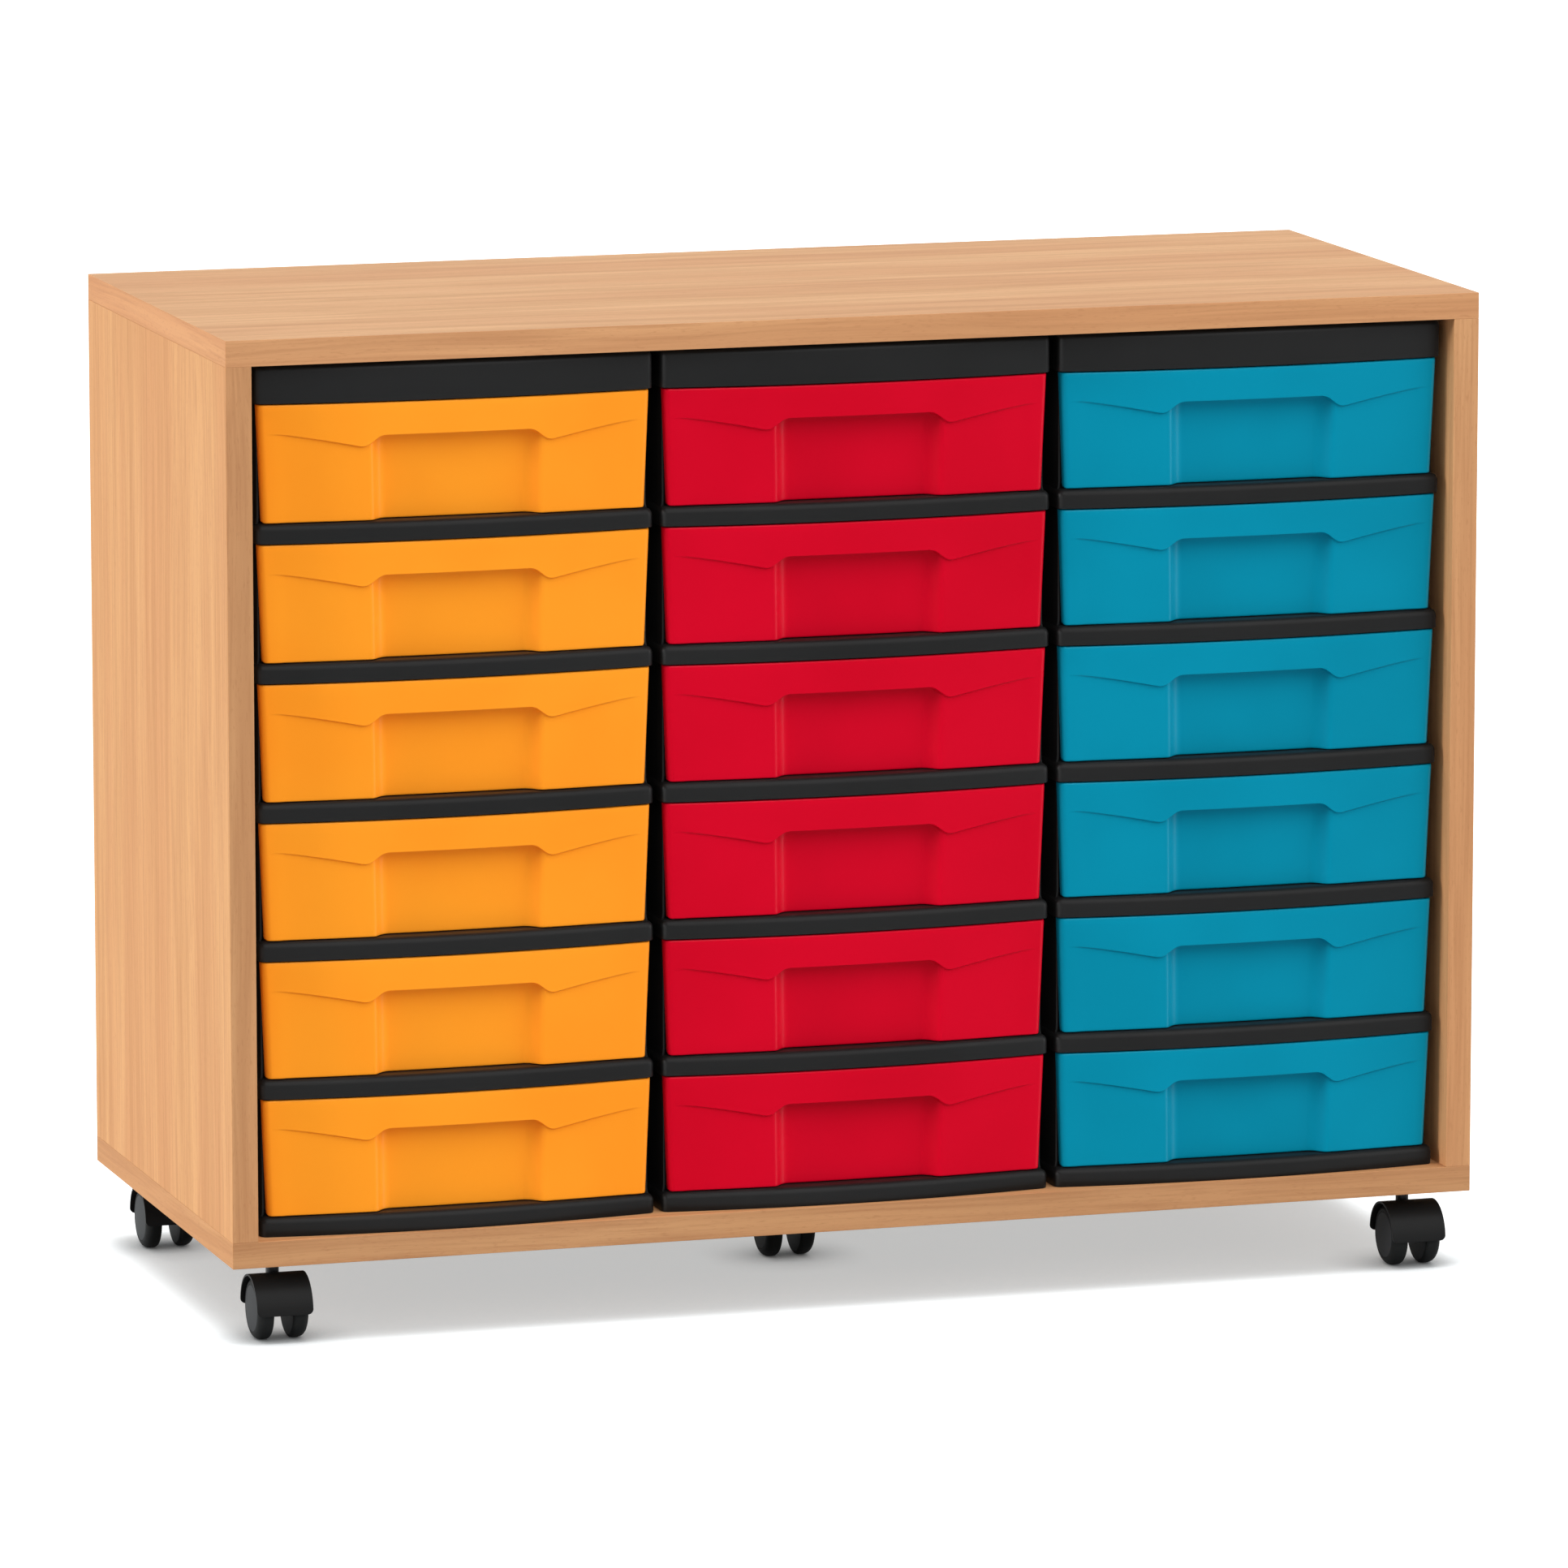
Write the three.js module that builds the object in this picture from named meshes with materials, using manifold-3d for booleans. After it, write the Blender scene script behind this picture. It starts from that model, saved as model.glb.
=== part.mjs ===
// Classroom tray storage unit: a beech carcass on swivel castors, filled with columns of stacked
// housings, where each housing guides one sliding tray.
// Millimetres, +Z up, front towards -Y, origin on the floor below the middle of the carcass.
import * as THREE from 'three';
import { mergeVertices } from 'three/addons/utils/BufferGeometryUtils.js';
import Module from 'manifold-3d';

const wasm = await Module();
wasm.setup();

// Carcass boards
const carcassWidth = 945;
const carcassDepth = 410;
const carcassHeight = 670;
const boardThickness = 19;
const backThickness = 8;
const backRebate = 9; // how far the back panel is let into the boards around it

// Columns of housings
const columnNames = ['amber', 'red', 'teal'];
const levelCount = 6;
const columnSideGap = 6.5; // column to side panel
const columnGap = 7.5; // column to column
const columnBackGap = 10; // column to back panel
const columnInset = 3.3; // carcass front to the foremost point of a column
const bowRadius = 1010; // curve of every front edge, seen from above

// Housing: a ledge with a hollow underside, and thin walls that carry the next ledge
const ledgeHeight = 14.2;
const ledgeRound = 5; // round of the upper edge
const ledgeCorner = 6; // corners seen from above
const skirtThickness = 2;
const plateThickness = 2.5;
const wallThickness = 2;
const nestClearance = 0.3; // wall to the skirt that it stands in
const coverHeight = 28;
const coverTopGap = 1; // cover to top panel
const coverSeatWidth = 1.5; // cover's step beyond the walls that carry it

// Tray
const trayLift = 0.3; // tray to the plate that it slides on
const trayTopGap = 0.8; // tray to the ledge above
const traySideGap = 0.7; // tray to each housing wall
const trayBackGap = 4; // tray to the housing's back wall
const trayWall = 2.2;
const trayFloor = 2.5;
const trayDraft = 3.5; // narrowing of each side from rim to floor
const trayBackCorner = 8;
const frontInset = 1; // ledge front to tray front
const frontLean = 1; // how far the front leans back at its foot
const frontSideCover = 2.8; // front panel beyond the tray body on each side
const frontCorner = 3;
const frontReturn = 8; // depth of the front panel's ends
const frontStopGap = 0.5; // front panel to the ends of the housing walls

// Pull of the tray: a proud band with a wing-shaped lower edge over a finger recess
const bandStep = 1.8; // band proud of the lower face at the middle
const notchDrop = 23.5; // rim to the straight edge over the recess
const notchHalf = 53;
const wingDrop = 32; // rim to the lowest points of the band
const wingRun = 17; // sideways from the notch to the lowest point
const creaseDrop = 22; // rim to the points where the edge fades out
const creaseEndGap = 3.8; // end of the edge to the round of the front panel's side
const creaseLip = 0.1; // lower face held proud at its ends, so that the edge fades out
const recessDepth = 8;
const recessBackHalf = 54;
const recessSplay = 9; // widening of the recess towards the front on each side

// Castor: twin wheels on one axle under a hood that turns about a stem
const wheelRadius = 22.5;
const wheelWidth = 13;
const wheelGap = 15; // between the two wheels
const wheelEdge = 2; // bevel of the outer tread edge
const hubRadius = 17;
const hubDish = 0.8; // depth of the dish in each outer face
const axleRadius = 3;
const axleClearance = 0.3;
const hoodGap = 1; // tread to hood
const hoodWall = 1.5;
const hoodOverhang = 1.2; // hood beyond the wheels at each end
const hoodFrontAngle = 183;
const hoodBackAngle = 2;
const webGap = 0.5; // hood's middle web to each wheel
const bossRadius = 6.5;
const stemRadius = 4.8;
const stemClearance = 0.3;
const stemShow = 10; // hood top to carcass underside
const stemInBoard = 14;
const stemInHood = 18; // hood top to the stem's lower end
const castorTrail = 12.5; // stem axis to axle
const castorInset = 39; // stem axis to the carcass edges

// Facets of the round stretches
const bowSteps = 8;
const cornerSteps = 2;
const roundSteps = 2;
const wheelSides = 20;
const pinSides = 12;
const hoodSteps = 12;

// Sizes that follow from the ones above
const openingWidth = carcassWidth - 2 * boardThickness;
const openingHeight = carcassHeight - 2 * boardThickness;
const columnCount = columnNames.length;
const ledgeWidth = (openingWidth - 2 * columnSideGap - (columnCount - 1) * columnGap) / columnCount;
const ledgeHalf = ledgeWidth / 2;
const levelPitch = (openingHeight - coverHeight - coverTopGap) / levelCount;
const columnBack = carcassDepth - backThickness - columnBackGap;
const hollowTop = ledgeHeight - plateThickness;
const wallInset = skirtThickness + nestClearance;
const wallInner = wallInset + wallThickness;
const trayHeight = levelPitch - ledgeHeight - trayLift - trayTopGap;
const trayHalf = ledgeHalf - wallInner - traySideGap;
const trayBack = columnBack - wallInner - trayBackGap;
const frontHalf = trayHalf + frontSideCover;
const frontY = columnInset + frontInset;
const frontBack = frontY + bow(frontHalf) + frontReturn;
const creaseHalf = frontHalf - trayDraft - frontCorner - creaseEndGap;
const wingHalf = notchHalf + wingRun;
const recessFrontHalf = recessBackHalf + recessSplay;
const hoodInner = wheelRadius + hoodGap;
const hoodRadius = hoodInner + hoodWall;
const wheelOuterX = wheelGap / 2 + wheelWidth;
const hoodHalf = wheelOuterX + hoodOverhang;
const castorHeight = wheelRadius + hoodRadius + stemShow;
const overcut = 2; // how far a cutting shape reaches past what it cuts

// How far an edge lies behind its foremost point, at a distance from the middle
function bow(x) {
  return bowRadius - Math.sqrt(bowRadius ** 2 - x ** 2);
}

function material(colour, roughness) {
  return new THREE.MeshStandardMaterial({ color: colour, roughness, metalness: 0 });
}

const beech = material(0xdcab7b, 0.55);
const housingBlack = material(0x222222, 0.45);
const castorBlack = material(0x1c1c1c, 0.4);
const wheelGrey = material(0x2b2c2d, 0.5);
const stemSteel = material(0x333333, 0.35);
const trayPlastics = {
  amber: material(0xff9c24, 0.4),
  red: material(0xd20a26, 0.4),
  teal: material(0x0d8cab, 0.4),
};

// Closed geometry to solid, and back to a mesh
function solidOf(geometry) {
  const bare = geometry.clone();
  bare.deleteAttribute('normal');
  bare.deleteAttribute('uv');
  const merged = mergeVertices(bare);
  const vertProperties = new Float32Array(merged.attributes.position.array);
  const triVerts = new Uint32Array(merged.index.array);
  return new wasm.Manifold(new wasm.Mesh({ numProp: 3, vertProperties, triVerts }));
}

function geometryOf(solid) {
  const { vertProperties, triVerts } = solid.getMesh();
  const geometry = new THREE.BufferGeometry();
  geometry.setAttribute('position', new THREE.BufferAttribute(vertProperties, 3));
  geometry.setIndex(new THREE.BufferAttribute(triVerts, 1));
  geometry.computeVertexNormals();
  return geometry;
}

// Solid through rings of equal point counts, counter-clockwise from above, from the lowest up
function loft(rings) {
  const count = rings[0].outline.length;
  const positions = rings.flatMap(({ outline, z }) => outline.flatMap((p) => [p.x, p.y, z]));
  const index = [];
  for (let ring = 0; ring + 1 < rings.length; ring += 1) {
    for (let i = 0; i < count; i += 1) {
      const lower = ring * count + i;
      const lowerNext = ring * count + ((i + 1) % count);
      index.push(lower, lowerNext, lowerNext + count, lower, lowerNext + count, lower + count);
    }
  }
  const top = (rings.length - 1) * count;
  for (const [a, b, c] of THREE.ShapeUtils.triangulateShape(rings[0].outline, [])) {
    index.push(c, b, a);
  }
  for (const [a, b, c] of THREE.ShapeUtils.triangulateShape(rings.at(-1).outline, [])) {
    index.push(top + a, top + b, top + c);
  }
  const geometry = new THREE.BufferGeometry();
  geometry.setAttribute('position', new THREE.Float32BufferAttribute(positions, 3));
  geometry.setIndex(index);
  return solidOf(geometry);
}

function prism(outline, low, high) {
  return loft([{ outline, z: low }, { outline, z: high }]);
}

function block(low, high) {
  const size = high.map((value, i) => value - low[i]);
  const middle = high.map((value, i) => (value + low[i]) / 2);
  return solidOf(new THREE.BoxGeometry(...size).translate(...middle));
}

// Cylinder with a flat side underneath, along X or Z
function cylinder(radius, low, high, sides, along) {
  const geometry = new THREE.CylinderGeometry(radius, radius, high - low, sides);
  geometry.translate(0, (low + high) / 2, 0);
  if (along === 'x') {
    geometry.rotateZ(-Math.PI / 2);
  } else {
    geometry.rotateX(Math.PI / 2);
  }
  return solidOf(geometry);
}

function arc(x, y, radius, fromDegrees, toDegrees, steps) {
  const points = [];
  for (let i = 0; i <= steps; i += 1) {
    const angle = THREE.MathUtils.degToRad(fromDegrees + ((toDegrees - fromDegrees) * i) / steps);
    points.push(new THREE.Vector2(x + radius * Math.cos(angle), y + radius * Math.sin(angle)));
  }
  return points;
}

// A drawn outline swept along an axis, from one station to another
function sweep(outline, xAxis, yAxis, from, to) {
  const geometry = new THREE.ExtrudeGeometry(new THREE.Shape(outline), {
    depth: to - from,
    bevelEnabled: false,
  });
  const along = new THREE.Vector3().crossVectors(xAxis, yAxis);
  const turn = new THREE.Matrix4().makeBasis(xAxis, yAxis, along);
  turn.setPosition(along.clone().multiplyScalar(from));
  return solidOf(geometry.applyMatrix4(turn));
}

const xWays = new THREE.Vector3(1, 0, 0);
const yWays = new THREE.Vector3(0, 1, 0);
const zWays = new THREE.Vector3(0, 0, 1);

function place(parent, name, solid, finish) {
  const mesh = new THREE.Mesh(geometryOf(solid), finish);
  mesh.name = name;
  parent.add(mesh);
  return mesh;
}

// Carcass: top and base run over the sides, and the back sits in a rebate all round
function makeCarcass(carcass) {
  const sideX = carcassWidth / 2;
  const innerX = openingWidth / 2;
  const topZ = carcassHeight - boardThickness;
  const backY = carcassDepth - backThickness;
  const rebateCut = block(
    [-innerX - backRebate, backY, boardThickness - backRebate],
    [innerX + backRebate, carcassDepth + overcut, topZ + backRebate],
  );
  const backPanel = block(
    [-innerX - backRebate, backY, boardThickness - backRebate],
    [innerX + backRebate, carcassDepth, topZ + backRebate],
  );
  const topPanel = block([-sideX, 0, topZ], [sideX, carcassDepth, carcassHeight]);
  const sidePanel = (from, to) => block([from, 0, boardThickness], [to, carcassDepth, topZ]);
  let basePanel = block([-sideX, 0, 0], [sideX, carcassDepth, boardThickness]);
  for (const { x, y } of castorPlaces) {
    const hole = cylinder(stemRadius + stemClearance, -overcut, stemInBoard, pinSides, 'z');
    basePanel = basePanel.subtract(hole.translate([x, y, 0]));
  }
  place(carcass, 'top_panel', topPanel.subtract(rebateCut), beech);
  place(carcass, 'base_panel', basePanel.subtract(rebateCut), beech);
  place(carcass, 'left_side_panel', sidePanel(-sideX, -innerX).subtract(rebateCut), beech);
  place(carcass, 'right_side_panel', sidePanel(innerX, sideX).subtract(rebateCut), beech);
  place(carcass, 'back_panel', backPanel, beech);
}

// Plan of a column, drawn in from its outer edge, with the bowed edge to the front
function columnOutline(inset) {
  const radius = ledgeCorner * (1 - inset / ledgeHalf);
  const flat = ledgeHalf - inset - radius;
  const front = columnInset + inset;
  const frontCentre = front + bow(flat) + radius;
  const backCentre = columnBack - inset - radius;
  const points = [];
  for (let i = 1; i < bowSteps; i += 1) {
    const x = flat * ((2 * i) / bowSteps - 1);
    points.push(new THREE.Vector2(x, front + bow(x)));
  }
  return points.concat(
    arc(flat, frontCentre, radius, 270, 360, cornerSteps),
    arc(flat, backCentre, radius, 0, 90, cornerSteps),
    arc(-flat, backCentre, radius, 90, 180, cornerSteps),
    arc(-flat, frontCentre, radius, 180, 270, cornerSteps),
  );
}

// Ledge or cover: the column's plan with a round upper edge
function roundedBlock(height) {
  const rings = [{ outline: columnOutline(0), z: 0 }];
  for (let i = 0; i <= roundSteps; i += 1) {
    const angle = (Math.PI / 2) * (i / roundSteps);
    rings.push({
      outline: columnOutline(ledgeRound * (1 - Math.cos(angle))),
      z: height - ledgeRound * (1 - Math.sin(angle)),
    });
  }
  return loft(rings).subtract(prism(columnOutline(skirtThickness), -overcut, hollowTop));
}

function makeHousing() {
  const wallTop = levelPitch + hollowTop;
  const wallFront = frontBack + frontStopGap;
  const inside = prism(columnOutline(wallInner), hollowTop - overcut, wallTop + overcut);
  const openFront = block(
    [-ledgeHalf, -overcut, hollowTop - overcut],
    [ledgeHalf, wallFront, wallTop + overcut],
  );
  const walls = prism(columnOutline(wallInset), hollowTop, wallTop).subtract(inside).subtract(openFront);
  return roundedBlock(ledgeHeight).add(walls);
}

function makeCover() {
  const hollow = columnOutline(wallInner + coverSeatWidth);
  return roundedBlock(coverHeight).subtract(
    prism(hollow, hollowTop - overcut, coverHeight - plateThickness),
  );
}

// Plan of the tray at a height from 0 at its foot to 1 at its rim: a bowed front panel that is
// wider than the body behind it
function trayOutline(height) {
  const taper = trayDraft * (1 - height);
  const panelHalf = frontHalf - taper;
  const bodyHalf = trayHalf - taper;
  const flat = panelHalf - frontCorner;
  const front = frontY + frontLean * (1 - height);
  const cornerCentre = front + bow(flat) + frontCorner;
  const backCentre = trayBack - trayBackCorner;
  const backFlat = bodyHalf - trayBackCorner;
  const bowPoints = [];
  for (let i = 0; i <= bowSteps; i += 1) {
    const x = creaseHalf * ((2 * i) / bowSteps - 1);
    bowPoints.push(new THREE.Vector2(x, front + bow(x)));
  }
  return bowPoints.concat(
    arc(flat, cornerCentre, frontCorner, 270, 360, cornerSteps),
    [new THREE.Vector2(panelHalf, frontBack), new THREE.Vector2(bodyHalf, frontBack)],
    arc(backFlat, backCentre, trayBackCorner, 0, 90, cornerSteps),
    arc(-backFlat, backCentre, trayBackCorner, 90, 180, cornerSteps),
    [new THREE.Vector2(-bodyHalf, frontBack), new THREE.Vector2(-panelHalf, frontBack)],
    arc(-flat, cornerCentre, frontCorner, 180, 270, cornerSteps),
  );
}

// Space inside the tray, which steps back behind the finger recess
function pocketOutline(height) {
  const half = trayHalf - trayWall - trayDraft * (1 - height);
  const front = frontY + bandStep + frontLean * (1 - height) + trayWall;
  const shoulder = recessFrontHalf + trayWall;
  const right = [
    [recessBackHalf + trayWall, front + recessDepth],
    [shoulder, front + bow(shoulder)],
    [half, front + bow(half)],
    [half, trayBack - trayWall],
  ];
  const left = right.map(([x, y]) => [-x, y]).reverse();
  return right.concat(left).map(([x, y]) => new THREE.Vector2(x, y));
}

// Everything below the band's edge that is cut back from the front, and the finger recess
function pullCut() {
  const edge = (x, drop) => new THREE.Vector2(x, trayHeight - drop);
  const foot = (x) => new THREE.Vector2(x, -overcut);
  const belowBand = sweep(
    [
      foot(-frontHalf), foot(frontHalf), edge(frontHalf, creaseDrop), edge(creaseHalf, creaseDrop),
      edge(wingHalf, wingDrop), edge(notchHalf, notchDrop), edge(-notchHalf, notchDrop),
      edge(-wingHalf, wingDrop), edge(-creaseHalf, creaseDrop), edge(-frontHalf, creaseDrop),
    ],
    xWays, zWays, -frontBack - recessDepth, overcut,
  );
  const lowerFace = (height) => {
    const front = frontY + frontLean * (1 - height);
    const points = [new THREE.Vector2(creaseHalf, -overcut), new THREE.Vector2(-creaseHalf, -overcut)];
    for (let i = 0; i <= bowSteps; i += 1) {
      const share = (2 * i) / bowSteps - 1;
      const x = creaseHalf * share;
      const step = bandStep * (1 - Math.abs(share)) - creaseLip;
      points.push(new THREE.Vector2(x, front + bow(x) + step));
    }
    return points.reverse();
  };
  const recess = (height) => {
    const front = frontY + frontLean * (1 - height);
    const mouth = front + bow(recessFrontHalf);
    const right = [
      [recessFrontHalf, -overcut],
      [recessFrontHalf, mouth],
      [recessBackHalf, front + bandStep + recessDepth],
    ];
    const left = right.map(([x, y]) => [-x, y]).reverse();
    return right.concat(left).map(([x, y]) => new THREE.Vector2(x, y));
  };
  const fullHeight = (outline) => loft([
    { outline: outline(0), z: 0 },
    { outline: outline(1), z: trayHeight },
  ]);
  return fullHeight(lowerFace).add(fullHeight(recess)).intersect(belowBand);
}

function makeTray() {
  const outside = loft([
    { outline: trayOutline(0), z: 0 },
    { outline: trayOutline(1), z: trayHeight },
  ]);
  const pocket = loft([
    { outline: pocketOutline(trayFloor / trayHeight), z: trayFloor },
    { outline: pocketOutline(1 + overcut / trayHeight), z: trayHeight + overcut },
  ]);
  return outside.subtract(pullCut()).subtract(pocket);
}

function makeColumns(carcass) {
  const housing = makeHousing();
  const tray = makeTray();
  const cover = makeCover();
  columnNames.forEach((name, column) => {
    const stack = new THREE.Group();
    const firstX = -openingWidth / 2 + columnSideGap + ledgeHalf;
    stack.position.set(firstX + column * (ledgeWidth + columnGap), 0, boardThickness);
    carcass.add(stack);
    for (let level = 0; level < levelCount; level += 1) {
      const bay = new THREE.Group();
      bay.position.z = level * levelPitch;
      stack.add(bay);
      place(bay, `${name}_housing_${level + 1}`, housing, housingBlack);
      const drawn = place(bay, `${name}_tray_${level + 1}`, tray, trayPlastics[name]);
      drawn.position.z = ledgeHeight + trayLift;
    }
    place(stack, `${name}_top_cover`, cover, housingBlack).position.z = levelCount * levelPitch;
  });
}

// Hood: part of a round shell over both wheels, with a web between them for axle and stem
function makeHood() {
  const shellOutline = arc(0, 0, hoodRadius, hoodBackAngle, hoodFrontAngle, hoodSteps).concat(
    arc(0, 0, hoodInner, hoodFrontAngle, hoodBackAngle, hoodSteps),
  );
  const webHalf = wheelGap / 2 - webGap;
  const webOutline = arc(0, 0, hoodInner + hoodWall / 2, hoodBackAngle, hoodFrontAngle, hoodSteps);
  const shell = sweep(shellOutline, yWays, zWays, -hoodHalf, hoodHalf);
  const web = sweep(webOutline, yWays, zWays, -webHalf, webHalf);
  const boss = cylinder(bossRadius, -webHalf, webHalf, pinSides, 'x');
  const axleBore = cylinder(axleRadius + axleClearance, -wheelGap, wheelGap, pinSides, 'x');
  const socketFloor = hoodRadius - stemInHood - stemClearance;
  const socket = cylinder(stemRadius + stemClearance, socketFloor, hoodRadius + overcut, pinSides, 'z');
  return shell.add(web).add(boss).subtract(axleBore).subtract(socket.translate([0, castorTrail, 0]));
}

// Both wheels and their axle turn as one
function makeWheels() {
  const treadRadius = wheelRadius / Math.cos(Math.PI / wheelSides);
  const rimRadius = treadRadius - wheelEdge;
  const innerX = wheelGap / 2;
  const half = [
    [axleRadius, innerX],
    [treadRadius, innerX],
    [treadRadius, wheelOuterX - wheelEdge],
    [rimRadius, wheelOuterX],
    [hubRadius, wheelOuterX],
    [hubRadius - hubDish, wheelOuterX - hubDish],
    [0, wheelOuterX - hubDish],
  ];
  const mirrored = half.map(([radius, x]) => [radius, -x]).reverse();
  const profile = mirrored.concat(half).map(([radius, x]) => new THREE.Vector2(radius, x));
  const geometry = new THREE.LatheGeometry(profile, wheelSides);
  geometry.rotateY(Math.PI / wheelSides);
  geometry.rotateZ(-Math.PI / 2);
  return solidOf(geometry);
}

function makeCastors(unit) {
  const hood = makeHood();
  const wheels = makeWheels();
  const stemLow = castorHeight - stemShow - stemInHood;
  const stem = cylinder(stemRadius, stemLow, castorHeight + stemInBoard, pinSides, 'z');
  for (const { name, x, y } of castorPlaces) {
    const castor = new THREE.Group();
    castor.position.set(x, y - carcassDepth / 2, 0);
    unit.add(castor);
    place(castor, `${name}_castor_stem`, stem, stemSteel);
    place(castor, `${name}_castor_hood`, hood, castorBlack).position.set(0, -castorTrail, wheelRadius);
    place(castor, `${name}_castor_wheels`, wheels, wheelGrey).position.set(0, -castorTrail, wheelRadius);
  }
}

const castorX = carcassWidth / 2 - castorInset;
const castorBackY = carcassDepth - castorInset;
const castorPlaces = [
  { name: 'front_left', x: -castorX, y: castorInset },
  { name: 'front_right', x: castorX, y: castorInset },
  { name: 'rear_left', x: -castorX, y: castorBackY },
  { name: 'rear_right', x: castorX, y: castorBackY },
  { name: 'middle', x: 0, y: carcassDepth / 2 },
];

const unit = new THREE.Group();
const carcass = new THREE.Group();
carcass.position.set(0, -carcassDepth / 2, castorHeight);
unit.add(carcass);
makeCarcass(carcass);
makeColumns(carcass);
makeCastors(unit);

export default unit;
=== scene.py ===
# Looks of the classroom tray storage unit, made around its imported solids. Metres, front towards -Y.
import math

import bmesh
import bpy
from mathutils import Matrix, Vector


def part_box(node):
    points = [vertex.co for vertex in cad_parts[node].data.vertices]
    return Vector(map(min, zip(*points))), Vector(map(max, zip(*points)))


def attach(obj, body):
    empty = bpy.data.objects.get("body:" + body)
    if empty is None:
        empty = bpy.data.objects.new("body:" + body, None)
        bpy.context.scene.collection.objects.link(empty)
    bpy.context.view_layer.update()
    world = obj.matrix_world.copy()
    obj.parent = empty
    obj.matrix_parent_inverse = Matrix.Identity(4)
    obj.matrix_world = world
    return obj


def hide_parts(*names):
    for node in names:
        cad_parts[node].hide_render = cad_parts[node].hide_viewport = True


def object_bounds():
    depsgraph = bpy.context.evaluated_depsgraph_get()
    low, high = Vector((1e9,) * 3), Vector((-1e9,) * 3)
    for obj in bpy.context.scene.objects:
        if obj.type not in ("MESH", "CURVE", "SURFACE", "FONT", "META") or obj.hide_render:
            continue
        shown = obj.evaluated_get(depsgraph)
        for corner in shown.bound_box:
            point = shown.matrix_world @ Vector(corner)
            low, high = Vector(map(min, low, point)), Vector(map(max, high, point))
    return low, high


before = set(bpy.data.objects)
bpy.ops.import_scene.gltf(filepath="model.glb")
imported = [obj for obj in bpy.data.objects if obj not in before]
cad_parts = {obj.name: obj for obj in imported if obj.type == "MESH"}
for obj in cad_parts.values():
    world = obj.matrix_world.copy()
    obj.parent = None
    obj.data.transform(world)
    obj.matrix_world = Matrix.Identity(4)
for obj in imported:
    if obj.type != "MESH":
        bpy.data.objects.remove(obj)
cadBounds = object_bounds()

columns = ("amber", "red", "teal")
levels = range(1, 7)
castors = ("front_left", "front_right", "rear_left", "rear_right", "middle")
mm = 0.001
fine, near, wide = 0.02 * mm, 0.1 * mm, 1.0 * mm  # reach of a pick by place
print("frame loaded,", len(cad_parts), "nodes")


# hand tools

def clearPick():
    bpy.ops.object.select_all(action="DESELECT")


def hold(part):  # the one picked and active object
    clearPick()
    part.select_set(True)
    bpy.context.view_layer.objects.active = part


def edit(part):
    hold(part)
    bpy.ops.object.mode_set(mode="EDIT")


def leave():
    bpy.ops.object.mode_set(mode="OBJECT")


def pickAll():
    bpy.ops.mesh.select_all(action="SELECT")


def pick(part, kind, test):  # picks the edges or faces that pass a test, in edit mode
    bpy.ops.mesh.select_mode(type=kind)
    bpy.ops.mesh.select_all(action="DESELECT")
    mesh = bmesh.from_edit_mesh(part.data)
    mesh.normal_update()
    for item in {"EDGE": mesh.edges, "FACE": mesh.faces}[kind]:
        if test(item):
            item.select_set(True)
    bmesh.update_edit_mesh(part.data)


def middle(edge):
    return (edge.verts[0].co + edge.verts[1].co) / 2


def lowest(edge, axis):
    return min(vert.co[axis] for vert in edge.verts)


def highest(edge, axis):
    return max(vert.co[axis] for vert in edge.verts)


def along(edge, axis, share=0.999):  # an edge that runs along x, y or z
    run = edge.verts[1].co - edge.verts[0].co
    return abs(run[axis]) > share * run.length


def sharp(edge, least=0.5):  # an edge whose two faces meet at more than this many radians
    return edge.calc_face_angle(0) > least


def facing(face, axis, way, share=0.9):  # a face that looks up or down x, y or z
    return way * face.normal[axis] > share


def nameIt(name):
    part = bpy.context.object
    bpy.ops.object.transform_apply(location=True, rotation=True, scale=True)
    part.name = name
    part.data.name = name
    return part


def addBox(name, low, high):
    clearPick()
    size = Vector(high) - Vector(low)
    bpy.ops.mesh.primitive_cube_add(size=1, location=Vector(low) + size / 2)
    bpy.ops.transform.resize(value=size)
    return nameIt(name)


def addRound(name, radius, low, high, centre, turned, sides=48):  # a cylinder along X if turned, else Z
    clearPick()
    spot = Vector(centre)
    spot[0 if turned else 2] = (low + high) / 2
    lay = (0, math.pi / 2, 0) if turned else (0, 0, 0)
    bpy.ops.mesh.primitive_cylinder_add(
        vertices=sides, radius=radius, depth=high - low, location=spot, rotation=lay)
    return nameIt(name)


def addGrid(name, columnSteps, rowSteps):  # a flat grid that is then drawn into shape
    clearPick()
    bpy.ops.mesh.primitive_grid_add(x_subdivisions=columnSteps, y_subdivisions=rowSteps, size=2)
    return nameIt(name)


def gridStep(place, count):  # the step of a grid's vertex, from its place between -1 and 1
    return round((place + 1) / 2 * count)


def finishWith(part, kind, **settings):  # a modifier, applied
    hold(part)
    modifier = part.modifiers.new(kind.lower(), kind)
    for key, value in settings.items():
        setattr(modifier, key, value)
    bpy.ops.object.modifier_apply(modifier=modifier.name)


def cutAway(part, tool):
    finishWith(part, "BOOLEAN", object=tool, operation="DIFFERENCE", solver="EXACT")
    bpy.data.objects.remove(tool)


def thicken(part, wall):  # gives a sheet its wall, inwards
    finishWith(part, "SOLIDIFY", thickness=wall, offset=-1, use_even_offset=True)


def softenEdges(part, width, angle=60):
    finishWith(part, "BEVEL", width=width, segments=2, limit_method="ANGLE",
               angle_limit=math.radians(angle), harden_normals=False)


def bevelPicked(width, segments, **settings):
    bpy.ops.mesh.bevel(offset=width, segments=segments, affect="EDGES", **settings)


def pullFaces(way):
    bpy.ops.mesh.extrude_region_move(TRANSFORM_OT_translate={"value": way})


def pullEdges(way):
    bpy.ops.mesh.extrude_edges_move(TRANSFORM_OT_translate={"value": way})


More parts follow.
